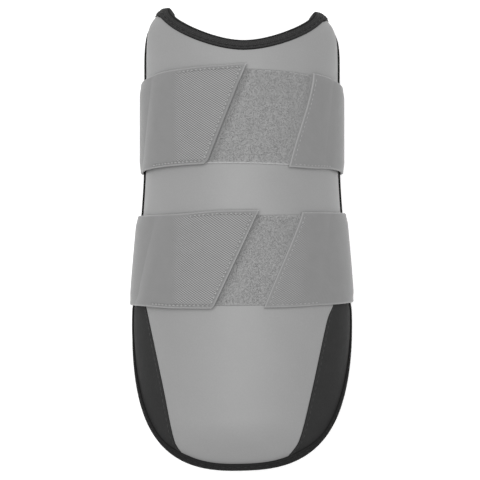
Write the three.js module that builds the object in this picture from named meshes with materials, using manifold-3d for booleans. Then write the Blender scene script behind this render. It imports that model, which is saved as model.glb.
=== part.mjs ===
// Elbow guard: a padded arch with a bound edge, two corner gussets and two straps closed by hook and loop.
// Millimetres, +Z up. The guard lies on its open back: +Y runs to the upper-arm end and +Z to the crest.
import * as THREE from "three";
import { mergeVertices } from "three/addons/utils/BufferGeometryUtils.js";
import Module from "manifold-3d";

const { clamp, degToRad, lerp, smoothstep } = THREE.MathUtils;

// Gaps kept between neighbouring pieces, under what lies on the curved panel, and inside the folded tape
const GAP = 0.3;
const SEAT_GAP = 0.4;
const FOLD_GAP = 0.6;

// Plan of the arch: half width of the outer face along Y
const UPPER_HALF_WIDTH = 50.4;
const FLARE = 5.7;
const FLARE_FROM_Y = 45;
const FLARE_TO_Y = -50;
const SHOULDER_Y = 99;
const SHOULDER_LENGTH = 21;
const SHOULDER_DROP = 12;
const SHOULDER_POWER = 3.3;

// Side view of the arch: crest line, widest line and rim line. Towards the horns the last two lift and the
// rims curl in.
const CREST_HEIGHT = 60;
const CREST_Y = -25;
const UPPER_BOW_RADIUS = 700;
const LOWER_BOW_RADIUS = 1100;
const NOSE_Y = -92;
const NOSE_RADIUS = 26;
const WIDEST_HEIGHT = 8;
const WIDEST_LIFT = 8;
const RIM_HEIGHT = 4;
const RIM_LIFT = 4;
const LIFT_FROM_Y = 93;
const LIFT_TO_Y = 120;
const CURL = 2.4;
const CURL_FROM_ANGLE = degToRad(74);
const CURL_TO_ANGLE = degToRad(100);

// Upper edge: a scoop between two horns, then level round the sides to corners that run down to the rims.
// It leans, which makes the guard longer on its left side.
const SCOOP_Y = 100.6;
const SCOOP_RISE = 21.1;
const SCOOP_POWER = 1.85;
const HORN_ANGLE = degToRad(64);
const CORNER_ANGLE = degToRad(82);
const TOP_WRAP = degToRad(104);
const CORNER_DROP = 21.6;
const CORNER_POWER = 2.2;
const TOP_LEAN = 1.6;

// Lower edge: a rounded tongue, which leans to the left too
const TONGUE_END_Y = -117.8;
const TONGUE_RISE = 76;
const TONGUE_POWER = 2.6;
const TONGUE_LEAN = 2.2;

// Wall thickness: front panel, then padding that thins out towards the bound edge
const PANEL = 2.2;
const PAD = 4;
const PAD_AT_EDGE = 1.6;
const PINCH_FROM = 8.5;
const PINCH_TO = 16;

// Binding tape folded over the edge of the wall
const TAPE = 0.8;
const TAPE_WIDTH = 4.2;
const TAPE_BEVEL = 0.5;
const TOP_TAPE_STEPS_PAST_HORN = 4;

// Straps and their closures, outwards from the panel: loop patch, hook pad, elastic
const ELASTIC = 1.8;
const LOOP = 1.4;
const HOOK = 0.9;
const RIM_CLEARANCE = 1.6;
const RIM_FROM_ANGLE = degToRad(70);
const RIM_TO_ANGLE = degToRad(86);
const CORNER_INNER_RADIUS = 2.6;
const LOOP_UNDER_SEAM = 6;
const LOOP_UNDER_TAB = 40;
const HOOK_LENGTH = 36;
const HOOK_INSET = 1.6;
const LOOP_INSET = 0.8;
const STACK_MARGIN = 1;
const STACK_RAMP = 10;

// One row per strap. top and bottom place its two edges along Y on the crest. Each edge leans towards
// the lower end by an angle as it goes round, and climbs to the right by a slope. tab and seam give
// the two slanted ends on the front, as distances from the middle at the top and bottom edges.
const STRAPS = [
  {
    name: "upper",
    top: 88,
    bottom: 38,
    topLean: 11,
    bottomLean: 4.2,
    topSlope: -0.02,
    bottomSlope: 0,
    tabTop: 2.5,
    tabBottom: -19.8,
    seamTop: 37.3,
    seamBottom: 24.9,
  },
  {
    name: "lower",
    top: 13.3,
    bottom: -34.6,
    topLean: 1.7,
    bottomLean: -0.4,
    topSlope: 0.015,
    bottomSlope: 0.012,
    tabTop: 7.3,
    tabBottom: -13.3,
    seamTop: 30.7,
    seamBottom: 12,
  },
];

// The two arms of a strap, from a slanted end on the front to the widest line of the arch: the height
// of what the end lies on, how far that reaches, and the mesh steps over it, down from it and on to
// the side
const ARMS = {
  right: {
    end: "seam",
    side: 1,
    stack: LOOP + GAP,
    reach: LOOP_UNDER_SEAM + STACK_MARGIN,
    steps: { stack: 2, ramp: 2, rest: 6 },
  },
  left: {
    end: "tab",
    side: -1,
    stack: LOOP + GAP + HOOK + SEAT_GAP,
    reach: LOOP_UNDER_TAB + STACK_MARGIN,
    steps: { stack: 6, ramp: 2, rest: 6 },
  },
};

// Seams between the front panel and the gussets as seen from the front, from under the lower strap to
// past the edge
const GUSSET_SEAMS = {
  left: [
    { x: -53, y: -20 },
    { x: -49.6, y: -35.7 },
    { x: -41.1, y: -75 },
    { x: -36, y: -100 },
    { x: -32.6, y: -108 },
    { x: -24, y: -118 },
    { x: -18, y: -126 },
  ],
  right: [
    { x: 52, y: -20 },
    { x: 46.4, y: -36 },
    { x: 43.8, y: -43 },
    { x: 36.3, y: -77 },
    { x: 30.6, y: -100 },
    { x: 26.6, y: -108 },
    { x: 18, y: -118 },
    { x: 12, y: -126 },
  ],
};
const GUSSET_REACH = 80;
const SEAM_STEPS = 16;

// Mesh steps
const STEPS_TO_HORN = 7;
const STEPS_PAST_HORN = 8;
const LENGTH_STEPS = 20;
const STRAP_STEPS = { corner: 3, floor: 4, across: 5 };
const LOOP_STEPS = 14;
const HOOK_STEPS = 6;
const SURFACE_STEP = 0.01;

// Rounds in which a point settles on the curved face
const SETTLING_ROUNDS = 5;

const FINISHES = {
  panel: { color: 0x9c9c9c, roughness: 0.6 },
  elastic: { color: 0x8c8c8c, roughness: 0.85 },
  loop: { color: 0x909090, roughness: 0.95 },
  hook: { color: 0x5a5a5a, roughness: 0.8 },
  gusset: { color: 0x3a3a3a, roughness: 0.65 },
  pad: { color: 0x2c2c2c, roughness: 0.9 },
  tape: { color: 0x2f2f2f, roughness: 0.8 },
};

// Drop of a round-off of the given radius, a distance past its start
function roundOff(past, radius) {
  return past > 0 ? past ** 2 / (2 * radius) : 0;
}

// Cross-section of the outer face at y: an ellipse that wraps a little past its widest line. The
// shoulders follow the lean of the edge, so they start lower on the right.
function section(y, across = 0) {
  const flare = FLARE * smoothstep(-y, -FLARE_FROM_Y, -FLARE_TO_Y);
  const pastShoulder = Math.max(0, y + TOP_LEAN * across - SHOULDER_Y);
  const shoulder = SHOULDER_DROP * (pastShoulder / SHOULDER_LENGTH) ** SHOULDER_POWER;
  const bowRadius = y > CREST_Y ? UPPER_BOW_RADIUS : LOWER_BOW_RADIUS;
  const bow = (y - CREST_Y) ** 2 / (2 * bowRadius);
  const crest = CREST_HEIGHT - bow - roundOff(NOSE_Y - y, NOSE_RADIUS);
  const lift = smoothstep(y, LIFT_FROM_Y, LIFT_TO_Y);
  const widest = WIDEST_HEIGHT + WIDEST_LIFT * lift;
  const rim = RIM_HEIGHT + RIM_LIFT * lift;
  const wrap = Math.acos((rim - widest) / (crest - widest));
  return { halfWidth: UPPER_HALF_WIDTH + flare - shoulder, crest, widest, wrap, lift };
}

// Point of the outer face. across runs from -1 at the left rim to 1 at the right rim.
function archPoint(across, y) {
  const { halfWidth, crest, widest, wrap, lift } = section(y, across);
  const angle = across * wrap;
  const curl = CURL * lift * smoothstep(Math.abs(angle), CURL_FROM_ANGLE, CURL_TO_ANGLE);
  return new THREE.Vector3(
    halfWidth * Math.sin(angle) - curl * Math.sign(across),
    y,
    widest + (crest - widest) * Math.cos(angle),
  );
}

function archSlopes(across, y) {
  const step = SURFACE_STEP;
  const alongAcross = archPoint(across + step, y).sub(archPoint(across - step, y));
  const alongY = archPoint(across, y + step).sub(archPoint(across, y - step));
  return {
    acrossSlope: alongAcross.divideScalar(2 * step),
    ySlope: alongY.divideScalar(2 * step),
  };
}

function archNormal(across, y) {
  const { acrossSlope, ySlope } = archSlopes(across, y);
  return acrossSlope.cross(ySlope).normalize();
}

// Point at a height above the outer face, or below it where the height is negative
function layerPoint(across, y, height) {
  return archPoint(across, y).addScaledVector(archNormal(across, y), height);
}

function topEdge(across) {
  const angle = Math.abs(across) * TOP_WRAP;
  const scoop = SCOOP_RISE * Math.sin(Math.min(angle, HORN_ANGLE)) ** SCOOP_POWER;
  const turned = Math.max(0, (angle - CORNER_ANGLE) / (TOP_WRAP - CORNER_ANGLE));
  const corner = 1 - Math.max(0, 1 - turned ** CORNER_POWER) ** (1 / CORNER_POWER);
  return SCOOP_Y + scoop - CORNER_DROP * corner - TOP_LEAN * Math.sin(across * HORN_ANGLE);
}

// Counterpart of a share on the rounded outline of the tongue
function tongueCurve(share) {
  return Math.max(0, 1 - share ** TONGUE_POWER) ** (1 / TONGUE_POWER);
}

function bottomEdge(across) {
  const outward = Math.abs(Math.sin((across * Math.PI) / 2));
  const rise = 1 - tongueCurve(outward);
  return TONGUE_END_Y + TONGUE_RISE * rise + TONGUE_LEAN * Math.sin(across * HORN_ANGLE);
}

// Positions across the arch, from rim to rim: even up to the horns, then closing up towards the rims
function acrossSteps() {
  const horn = HORN_ANGLE / TOP_WRAP;
  const half = [];
  for (let i = 1; i <= STEPS_TO_HORN; i++) {
    half.push((horn * i) / STEPS_TO_HORN);
  }
  for (let i = 1; i <= STEPS_PAST_HORN; i++) {
    half.push(lerp(horn, 1, Math.sin((Math.PI / 2) * (i / STEPS_PAST_HORN))));
  }
  return [...half.map((across) => -across).reverse(), 0, ...half];
}

const ACROSS = acrossSteps();

// Share of the way from the lower edge to the upper edge, closing up towards both
function lengthShare(step) {
  return (1 - Math.cos((Math.PI * step) / LENGTH_STEPS)) / 2;
}

// Closed solid between an outer and an inner grid of points, both given as functions of the grid's two
// indices
function slabGeometry(columns, rows, outerPoint, innerPoint) {
  const positions = [];
  const indices = [];
  const outer = (i, j) => i * (rows + 1) + j;
  const inner = (i, j) => (columns + 1) * (rows + 1) + outer(i, j);
  const quad = (a, b, c, d) => indices.push(a, b, c, a, c, d);
  for (const pointAt of [outerPoint, innerPoint]) {
    for (let i = 0; i <= columns; i++) {
      for (let j = 0; j <= rows; j++) {
        positions.push(...pointAt(i, j).toArray());
      }
    }
  }
  for (let i = 0; i < columns; i++) {
    for (let j = 0; j < rows; j++) {
      quad(outer(i, j), outer(i + 1, j), outer(i + 1, j + 1), outer(i, j + 1));
      quad(inner(i, j), inner(i, j + 1), inner(i + 1, j + 1), inner(i + 1, j));
    }
    quad(inner(i, 0), inner(i + 1, 0), outer(i + 1, 0), outer(i, 0));
    quad(outer(i, rows), outer(i + 1, rows), inner(i + 1, rows), inner(i, rows));
  }
  for (let j = 0; j < rows; j++) {
    quad(outer(0, j), outer(0, j + 1), inner(0, j + 1), inner(0, j));
    quad(inner(columns, j), inner(columns, j + 1), outer(columns, j + 1), outer(columns, j));
  }
  return indexedGeometry(positions, indices);
}

function indexedGeometry(positions, indices) {
  const geometry = new THREE.BufferGeometry();
  geometry.setAttribute("position", new THREE.Float32BufferAttribute(positions, 3));
  geometry.setIndex(indices);
  return geometry;
}

// Layer of the wall between two depths under the outer face, each a function of the place
function wallLayer(outerDepth, innerDepth) {
  const pointAt = (depth) => (i, j) => {
    const across = ACROSS[i];
    const y = lerp(bottomEdge(across), topEdge(across), lengthShare(j));
    return layerPoint(across, y, -depth(across, y));
  };
  return slabGeometry(ACROSS.length - 1, LENGTH_STEPS, pointAt(outerDepth), pointAt(innerDepth));
}

// Share of the arch that is left at y, where the tongue's edge climbs from the rim to the crest
function tongueReach(y) {
  const left = 1 - (y - TONGUE_END_Y) / TONGUE_RISE;
  const outward = tongueCurve(clamp(left, 0, 1));
  return (2 / Math.PI) * Math.asin(outward);
}

// Distance of a place on the wall from the nearest edge, near enough for shaping the padding
function edgeDistance(across, y) {
  const { halfWidth, wrap } = section(y);
  const arc = wrap * halfWidth;
  const distanceTo = (edge) => {
    const climb = edge(across + SURFACE_STEP) - edge(across - SURFACE_STEP);
    return Math.abs(edge(across) - y) / Math.hypot(1, climb / (2 * SURFACE_STEP * arc));
  };
  const toRim = (tongueReach(y) - Math.abs(across)) * arc;
  const distances = [toRim, distanceTo(topEdge), distanceTo(bottomEdge)];
  return 1 / Math.hypot(...distances.map((distance) => 1 / Math.max(distance, SURFACE_STEP)));
}

function padInnerDepth(across, y) {
  const fullness = smoothstep(edgeDistance(across, y), PINCH_FROM, PINCH_TO);
  return PANEL + GAP + lerp(PAD_AT_EDGE, PAD, fullness);
}

const EDGE_WALL = PANEL + GAP + PAD_AT_EDGE;

// Place on the outer face that lies a distance away from another along a direction
function slide(across, y, direction, distance) {
  const target = archPoint(across, y).addScaledVector(direction, distance);
  const place = { across, y };
  for (let round = 0; round < SETTLING_ROUNDS; round++) {
    const { acrossSlope, ySlope } = archSlopes(place.across, place.y);
    const miss = target.clone().sub(archPoint(place.across, place.y));
    const aa = acrossSlope.dot(acrossSlope);
    const ay = acrossSlope.dot(ySlope);
    const yy = ySlope.dot(ySlope);
    const missAcross = miss.dot(acrossSlope);
    const missY = miss.dot(ySlope);
    const scale = aa * yy - ay * ay;
    place.across += (yy * missAcross - ay * missY) / scale;
    place.y += (aa * missY - ay * missAcross) / scale;
  }
  return place;
}

// Profile of the folded tape as inset from the edge and height above the outer face
function tapeProfile() {
  const low = -EDGE_WALL - FOLD_GAP;
  const out = -GAP - TAPE;
  return [
    { inset: TAPE_WIDTH, height: SEAT_GAP + TAPE },
    { inset: out + TAPE_BEVEL, height: SEAT_GAP + TAPE },
    { inset: out, height: SEAT_GAP + TAPE - TAPE_BEVEL },
    { inset: out, height: low - TAPE + TAPE_BEVEL },
    { inset: out + TAPE_BEVEL, height: low - TAPE },
    { inset: TAPE_WIDTH, height: low - TAPE },
    { inset: TAPE_WIDTH, height: low },
    { inset: -GAP, height: low },
    { inset: -GAP, height: SEAT_GAP },
    { inset: TAPE_WIDTH, height: SEAT_GAP },
  ];
}

// Tape swept along places on the edge that run anticlockwise as seen from outside. The first and the
// last place lie beyond the tape's ends and only give its direction there.
function bindingGeometry(places) {
  const profile = tapeProfile();
  const sides = profile.length;
  const edge = places.map(({ across, y }) => archPoint(across, y));
  const rings = places.length - 2;
  const positions = [];
  for (let k = 1; k <= rings; k++) {
    const { across, y } = places[k];
    const normal = archNormal(across, y);
    const along = edge[k + 1].clone().sub(edge[k - 1]);
    const inward = normal.clone().cross(along).normalize();
    const seat = slide(across, y, inward, TAPE_WIDTH);
    for (const { inset, height } of profile) {
      const point =
        inset > 0
          ? layerPoint(seat.across, seat.y, height)
          : edge[k].clone().addScaledVector(inward, inset).addScaledVector(normal, height);
      positions.push(...point.toArray());
    }
  }
  const indices = [];
  for (let k = 0; k < rings - 1; k++) {
    for (let s = 0; s < sides; s++) {
      const here = k * sides + s;
      const next = k * sides + ((s + 1) % sides);
      indices.push(here, next, here + sides, next, next + sides, here + sides);
    }
  }
  const outline = profile.map(({ inset, height }) => new THREE.Vector2(inset, height));
  const last = (rings - 1) * sides;
  for (const [a, b, c] of THREE.ShapeUtils.triangulateShape(outline, [])) {
    indices.push(a, c, b, last + a, last + b, last + c);
  }
  return indexedGeometry(positions, indices);
}

function topPlaces(acrossList) {
  return acrossList.map((across) => ({ across, y: topEdge(across) }));
}

// Index in ACROSS of the top tape's left end
const TOP_TAPE_END = STEPS_PAST_HORN - TOP_TAPE_STEPS_PAST_HORN;

function topBindingPlaces() {
  const guide = TOP_TAPE_END - 1;
  return topPlaces(ACROSS.slice(guide, ACROSS.length - guide).reverse());
}

// Round the rest of the edge: down the left rim, along the lower edge and up the right rim, from horn
// to horn
function rimBindingPlaces() {
  const guide = ACROSS[TOP_TAPE_END + 1];
  const { wrap, halfWidth } = section(topEdge(ACROSS[TOP_TAPE_END]));
  const start = ACROSS[TOP_TAPE_END] - (2 * GAP) / (wrap * halfWidth);
  const corner = ACROSS.slice(1, TOP_TAPE_END);
  const rimPlace = (side, step) => ({
    across: side,
    y: lerp(bottomEdge(side), topEdge(side), lengthShare(step)),
  });
  const places = topPlaces([guide, start, ...corner.toReversed()]);
  for (let step = LENGTH_STEPS; step > 0; step--) {
    places.push(rimPlace(-1, step));
  }
  for (const across of ACROSS) {
    places.push({ across, y: bottomEdge(across) });
  }
  for (let step = 1; step <= LENGTH_STEPS; step++) {
    places.push(rimPlace(1, step));
  }
  return [...places, ...topPlaces([...corner, start, guide].map((across) => -across))];
}

// Place along Y of a strap's point, where share runs from 0 at its lower edge to 1 at its upper edge
function strapY(strap, share, x, z) {
  const edgeY = (y, degrees, slope) => {
    const lean = Math.tan(degToRad(degrees)) * (section(y).crest - z);
    return y - lean + slope * x;
  };
  const bottom = edgeY(strap.bottom, strap.bottomLean, strap.bottomSlope);
  const top = edgeY(strap.top, strap.topLean, strap.topSlope);
  return lerp(bottom, top, share);
}

// Point of a strap at an angle round the arch and a height above the panel
function strapPoint(strap, share, angle, height) {
  let y = lerp(strap.bottom, strap.top, share);
  let point;
  for (let round = 0; round < SETTLING_ROUNDS; round++) {
    point = layerPoint(angle / section(y).wrap, y, height);
    y = strapY(strap, share, point.x, point.z);
  }
  return point;
}

// Point of a strap where it turns under a rim: turn runs from 0 on the side to a right angle on the floor
function strapCorner(strap, share, side, turn, lift) {
  const radius = CORNER_INNER_RADIUS + lift;
  const z = ELASTIC + CORNER_INNER_RADIUS - radius * Math.sin(turn);
  const inset = SEAT_GAP + RIM_CLEARANCE - CORNER_INNER_RADIUS + radius * Math.cos(turn);
  let x = 0;
  let y = 0;
  for (let round = 0; round < SETTLING_ROUNDS; round++) {
    y = strapY(strap, share, x, z);
    x = side * (section(y).halfWidth + inset);
  }
  return new THREE.Vector3(x, y, z);
}

// Angle round the arch of a strap's slanted end, "tab" or "seam"
function endAngle(strap, end, share) {
  const x = lerp(strap[end + "Bottom"], strap[end + "Top"], share);
  const { halfWidth } = section(lerp(strap.bottom, strap.top, share));
  return Math.asin(x / (halfWidth + SEAT_GAP + LOOP));
}

// Angle that a distance along the panel takes up
function angleOf(strap, distance) {
  return distance / section((strap.top + strap.bottom) / 2).halfWidth;
}

// One line of an arm from its end to the widest line. Its inner face lies on the closure, comes down
// to the panel and goes out round the rim's binding.
function armLine(strap, share, { end, side, stack, reach, steps }, lift) {
  const from = endAngle(strap, end, share);
  const stackEnd = from + side * angleOf(strap, reach);
  const rampEnd = stackEnd + side * angleOf(strap, STACK_RAMP);
  const sideAngle = (side * Math.PI) / 2;
  const stretches = [
    { start: from, stop: stackEnd, count: steps.stack },
    { start: stackEnd, stop: rampEnd, count: steps.ramp },
    { start: rampEnd, stop: sideAngle, count: steps.rest },
  ];
  const angles = [from];
  for (const { start, stop, count } of stretches) {
    for (let k = 1; k <= count; k++) {
      angles.push(lerp(start, stop, k / count));
    }
  }
  return angles.map((angle) => {
    const down = smoothstep(side * angle, side * stackEnd, side * rampEnd);
    const round = smoothstep(side * angle, RIM_FROM_ANGLE, RIM_TO_ANGLE);
    const height = SEAT_GAP + Math.max(stack * (1 - down), RIM_CLEARANCE * round);
    return strapPoint(strap, share, angle, height + lift);
  });
}

// One line of a strap from its sewn end round the right side, across the back and up the left side to
// its tab
function strapLine(strap, share, lift) {
  const { corner, floor } = STRAP_STEPS;
  const quarter = Math.PI / 2;
  const points = armLine(strap, share, ARMS.right, lift);
  for (let k = 0; k <= corner; k++) {
    points.push(strapCorner(strap, share, 1, (quarter * k) / corner, lift));
  }
  const nearCorner = points.at(-1);
  const farCorner = strapCorner(strap, share, -1, quarter, lift);
  for (let k = 1; k < floor; k++) {
    points.push(nearCorner.clone().lerp(farCorner, k / floor));
  }
  for (let k = corner; k >= 0; k--) {
    points.push(strapCorner(strap, share, -1, (quarter * k) / corner, lift));
  }
  return [...points, ...armLine(strap, share, ARMS.left, lift).reverse()];
}

function strapGeometry(strap) {
  const rows = STRAP_STEPS.across;
  const outer = [];
  const inner = [];
  for (let j = 0; j <= rows; j++) {
    outer.push(strapLine(strap, j / rows, ELASTIC));
    inner.push(strapLine(strap, j / rows, 0));
  }
  const columns = outer[0].length - 1;
  return slabGeometry(columns, rows, (i, j) => outer[j][i], (i, j) => inner[j][i]);
}

// Flat patch lying on the panel under a strap, between two slanted ends given as functions of the share
function patchGeometry(strap, columns, inset, startAngle, stopAngle, height, thickness) {
  const rows = STRAP_STEPS.across;
  const edge = inset / (strap.top - strap.bottom);
  const pointAt = (lift) => (i, j) => {
    const share = lerp(edge, 1 - edge, j / rows);
    const angle = lerp(startAngle(share), stopAngle(share), i / columns);
    return strapPoint(strap, share, angle, lift);
  };
  return slabGeometry(columns, rows, pointAt(height + thickness), pointAt(height));
}

function loopGeometry(strap) {
  const start = (share) => endAngle(strap, "tab", share) - angleOf(strap, LOOP_UNDER_TAB);
  const stop = (share) => endAngle(strap, "seam", share) + angleOf(strap, LOOP_UNDER_SEAM);
  return patchGeometry(strap, LOOP_STEPS, LOOP_INSET, start, stop, SEAT_GAP, LOOP);
}

function hookGeometry(strap) {
  const start = (share) => endAngle(strap, "tab", share) - angleOf(strap, HOOK_LENGTH);
  const stop = (share) => endAngle(strap, "tab", share) - angleOf(strap, HOOK_INSET);
  return patchGeometry(strap, HOOK_STEPS, HOOK_INSET, start, stop, SEAT_GAP + LOOP + GAP, HOOK);
}

const wasm = await Module();
wasm.setup();

function solidOf(geometry) {
  return new wasm.Manifold(
    new wasm.Mesh({
      numProp: 3,
      vertProperties: geometry.attributes.position.array,
      triVerts: new Uint32Array(geometry.index.array),
    }),
  );
}

function geometryOf(solid) {
  const { vertProperties, triVerts } = solid.getMesh();
  return indexedGeometry([...vertProperties], [...triVerts]);
}

// Upright prism over everything outside a gusset's seam, drawn back from the seam by a gap
function gussetRegion(seam, side, gap) {
  const curve = new THREE.SplineCurve(
    seam.map(({ x, y }) => new THREE.Vector2(x + side * gap, y - gap)),
  );
  const line = curve.getPoints(SEAM_STEPS);
  const shape = new THREE.Shape([
    ...line,
    new THREE.Vector2(side * GUSSET_REACH, line.at(-1).y),
    new THREE.Vector2(side * GUSSET_REACH, line[0].y),
  ]);
  const prism = new THREE.ExtrudeGeometry(shape, { depth: GUSSET_REACH, bevelEnabled: false });
  prism.deleteAttribute("normal");
  prism.deleteAttribute("uv");
  return solidOf(mergeVertices(prism));
}

function piece(name, geometry, finish) {
  geometry.computeVertexNormals();
  const material = new THREE.MeshStandardMaterial({ ...finish, metalness: 0 });
  const mesh = new THREE.Mesh(geometry, material);
  mesh.name = name;
  return mesh;
}

// The outer layer of the wall, parted into the front panel and its two gussets
function outerWall() {
  const { left, right } = GUSSET_SEAMS;
  const whole = solidOf(wallLayer(() => 0, () => PANEL));
  const panel = whole.subtract(gussetRegion(left, -1, 0)).subtract(gussetRegion(right, 1, 0));
  const leftGusset = whole.intersect(gussetRegion(left, -1, GAP));
  const rightGusset = whole.intersect(gussetRegion(right, 1, GAP));
  return [
    piece("front_panel", geometryOf(panel), FINISHES.panel),
    piece("gusset_left", geometryOf(leftGusset), FINISHES.gusset),
    piece("gusset_right", geometryOf(rightGusset), FINISHES.gusset),
  ];
}

const guard = new THREE.Group();
guard.add(...outerWall());
guard.add(piece("inner_pad", wallLayer(() => PANEL + GAP, padInnerDepth), FINISHES.pad));
guard.add(piece("top_binding", bindingGeometry(topBindingPlaces()), FINISHES.tape));
guard.add(piece("rim_binding", bindingGeometry(rimBindingPlaces()), FINISHES.tape));
for (const strap of STRAPS) {
  guard.add(piece(strap.name + "_loop_patch", loopGeometry(strap), FINISHES.loop));
  guard.add(piece(strap.name + "_hook_pad", hookGeometry(strap), FINISHES.hook));
  guard.add(piece(strap.name + "_strap", strapGeometry(strap), FINISHES.elastic));
}

export default guard;
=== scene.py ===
"""Looks of a padded elbow guard that lies on its open back, front side up. Sizes are in millimetres and
become metres where a mesh is made."""
import math

import bpy
import numpy as np
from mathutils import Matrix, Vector


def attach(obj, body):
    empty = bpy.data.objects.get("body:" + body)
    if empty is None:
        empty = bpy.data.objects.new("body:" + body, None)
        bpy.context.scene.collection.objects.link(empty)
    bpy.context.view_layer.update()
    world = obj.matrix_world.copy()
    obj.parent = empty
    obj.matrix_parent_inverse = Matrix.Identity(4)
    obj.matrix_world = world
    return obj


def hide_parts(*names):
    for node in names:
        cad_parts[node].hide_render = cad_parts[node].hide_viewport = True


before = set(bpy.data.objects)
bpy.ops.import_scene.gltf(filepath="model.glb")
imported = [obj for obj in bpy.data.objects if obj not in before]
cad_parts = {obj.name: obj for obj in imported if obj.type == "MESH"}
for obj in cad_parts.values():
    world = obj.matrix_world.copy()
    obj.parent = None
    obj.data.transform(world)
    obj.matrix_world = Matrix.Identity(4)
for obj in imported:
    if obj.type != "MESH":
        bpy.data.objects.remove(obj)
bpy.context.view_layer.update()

MM = 0.001
BODY = "root"

# Gaps between neighbouring layers. The layers of the straps lie closer together than their solids do.
GAP = 0.3
SEAT_GAP = 0.15
LAYER_GAP = 0.1

# Plan of the arch: half width of the outer face along Y
UPPER_HALF_WIDTH = 50.4
FLARE = 5.7
FLARE_Y = (45, -50)
SHOULDER_Y = 99
SHOULDER_LENGTH = 21
SHOULDER_DROP = 12
SHOULDER_POWER = 3.3

# The padding swells out below the lower strap, then slims down towards the tongue
SWELL = 0.9
SWELL_Y = (-29, -38)
SLIM = 0.5
SLIM_Y = (-38, -85)

# Side view of the arch: crest line, widest line and rim line
CREST_HEIGHT = 60
CREST_Y = -25
UPPER_BOW_RADIUS = 700
LOWER_BOW_RADIUS = 1100
NOSE_Y = -92
NOSE_RADIUS = 26
WIDEST_HEIGHT = 8
WIDEST_LIFT = 8
RIM_HEIGHT = 4
RIM_LIFT = 4
LIFT_Y = (93, 120)
CURL = 2.7
CURL_LEAN = 0.11
CURL_ANGLES = (math.radians(74), math.radians(100))

# Upper edge: a scoop between two horns, then corners that run down to the rims. It leans, which makes
# the guard longer on its left side.
SCOOP_Y = 100.6
SCOOP_RISE = 21.1
SCOOP_POWER = 1.85
HORN_ANGLE = math.radians(64)
CORNER_ANGLE = math.radians(82)
TOP_WRAP = math.radians(104)
CORNER_DROP = 21.6
CORNER_POWER = 2.2
TOP_LEAN = 1.6

# Lower edge: a rounded tongue, which leans to the left too
TONGUE_END_Y = -117.8
TONGUE_RISE = 76
TONGUE_POWER = 2.6
TONGUE_LEAN = 2.2

# Wall thickness: front panel, then padding that thins out towards the bound edge
PANEL = 2.2
PAD = 4
PAD_AT_EDGE = 1.6
PINCH = (8.5, 16)
EDGE_WALL = PANEL + GAP + PAD_AT_EDGE

# Straps and their closures, outwards from the panel: loop patch, hook pad, elastic
ELASTIC = 1.5
LOOP = 1.0
HOOK = 0.7
STRAP_WIDTH = 50
RIM_CLEARANCE = 1.85
RIM_ANGLES = (math.radians(42), math.radians(90))
CORNER_INNER_RADIUS = 2.6
LOOP_UNDER_SEAM = 6
LOOP_UNDER_TAB = 40
HOOK_LENGTH = 36
HOOK_INSET = 1.6
LOOP_INSET = 1.3
STACK_MARGIN = 1
STACK_RAMP = 26
TAB_RISE = 0.2
RISE_LENGTH = 9

# One row per strap. top and bottom are its edges on the crest, with their leans in degrees and their slopes.
# Its two ends, the free tab and the sewn end or seam, run from x at the top edge to x at the bottom edge: bow
# and skew bend them, corner is the length and height of the rounded lower corner, lift how far the bottom and
# top corners stand off the band's line, fade the distances from the end over which that dies out, and dip how
# far the top edge sinks farther along. patch is how far the bottom and top edges of the loop patch stand off
# their even inset at that end, and selvage the strength of the highlight painted along
# its lower edge. twill_right is where the twill stops on the sewn end, and cut_highlight_shares the shares of
# the width between which a highlight is painted along the tab's cut edge.
STRAPS = {
    "upper": dict(
        top=88.2, bottom=38, top_lean=11, bottom_lean=4.2, top_slope=-0.02, bottom_slope=0,
        tab=dict(
            top=2.3, bottom=-17.3, bow=0, skew=0, corner=(2.5, 2.7),
            lift=(0, 0.75), fade=(1, 14), dip=0.3, patch=(-1, -0.2),
        ),
        seam=dict(
            top=36.2, bottom=23.5, bow=0.8, skew=5, corner=(0, 1),
            lift=(-1.2, 0), fade=(10, 34), dip=0, patch=(-1.5, 0.3),
        ),
        selvage=1, twill_right=20, cut_highlight_shares=(0.8, 0.9),
    ),
    "lower": dict(
        top=13.3, bottom=-34.6, top_lean=0.8, bottom_lean=-0.4, top_slope=0.015, bottom_slope=0.012,
        tab=dict(
            top=8.4, bottom=-14.3, bow=0, skew=0, corner=(1.6, 2),
            lift=(-0.6, 1.3), fade=(18, 44), dip=0, patch=(-0.25, -0.1),
        ),
        seam=dict(
            top=30.4, bottom=10.9, bow=0.25, skew=2.5, corner=(0, 1),
            lift=(-0.4, 0), fade=(10, 34), dip=0, patch=(-0.25, 0),
        ),
        selvage=0.3, twill_right=33, cut_highlight_shares=(-0.9, 0.6),
    ),
}

# The two arms of a strap, each from an end on the front round its side to the back: stack is the height of
# the layers under its end, reach how far they go and rise how far the end stands up
ARMS = {
    "right": dict(
        end="seam", side=1, stack=LOOP + LAYER_GAP, rise=0, reach=LOOP_UNDER_SEAM + STACK_MARGIN
    ),
    "left": dict(
        end="tab", side=-1, stack=LOOP + HOOK + 2 * LAYER_GAP, rise=TAB_RISE,
        reach=LOOP_UNDER_TAB + STACK_MARGIN,
    ),
}

# Seams between the front panel and the gussets as seen from the front, from under the lower strap down
GUSSET_SEAMS = {
    -1: [(-53, -20), (-49.6, -35.7), (-41.1, -75), (-36, -100), (-32.6, -108), (-24, -118), (-18, -126)],
    1: [
        (52, -20), (46.4, -36), (43.8, -43), (36.3, -77),
        (30.6, -100), (26.6, -108), (18, -118), (12, -126),
    ],
}
GUSSET_TOP_SHARE = 0.294

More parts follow.
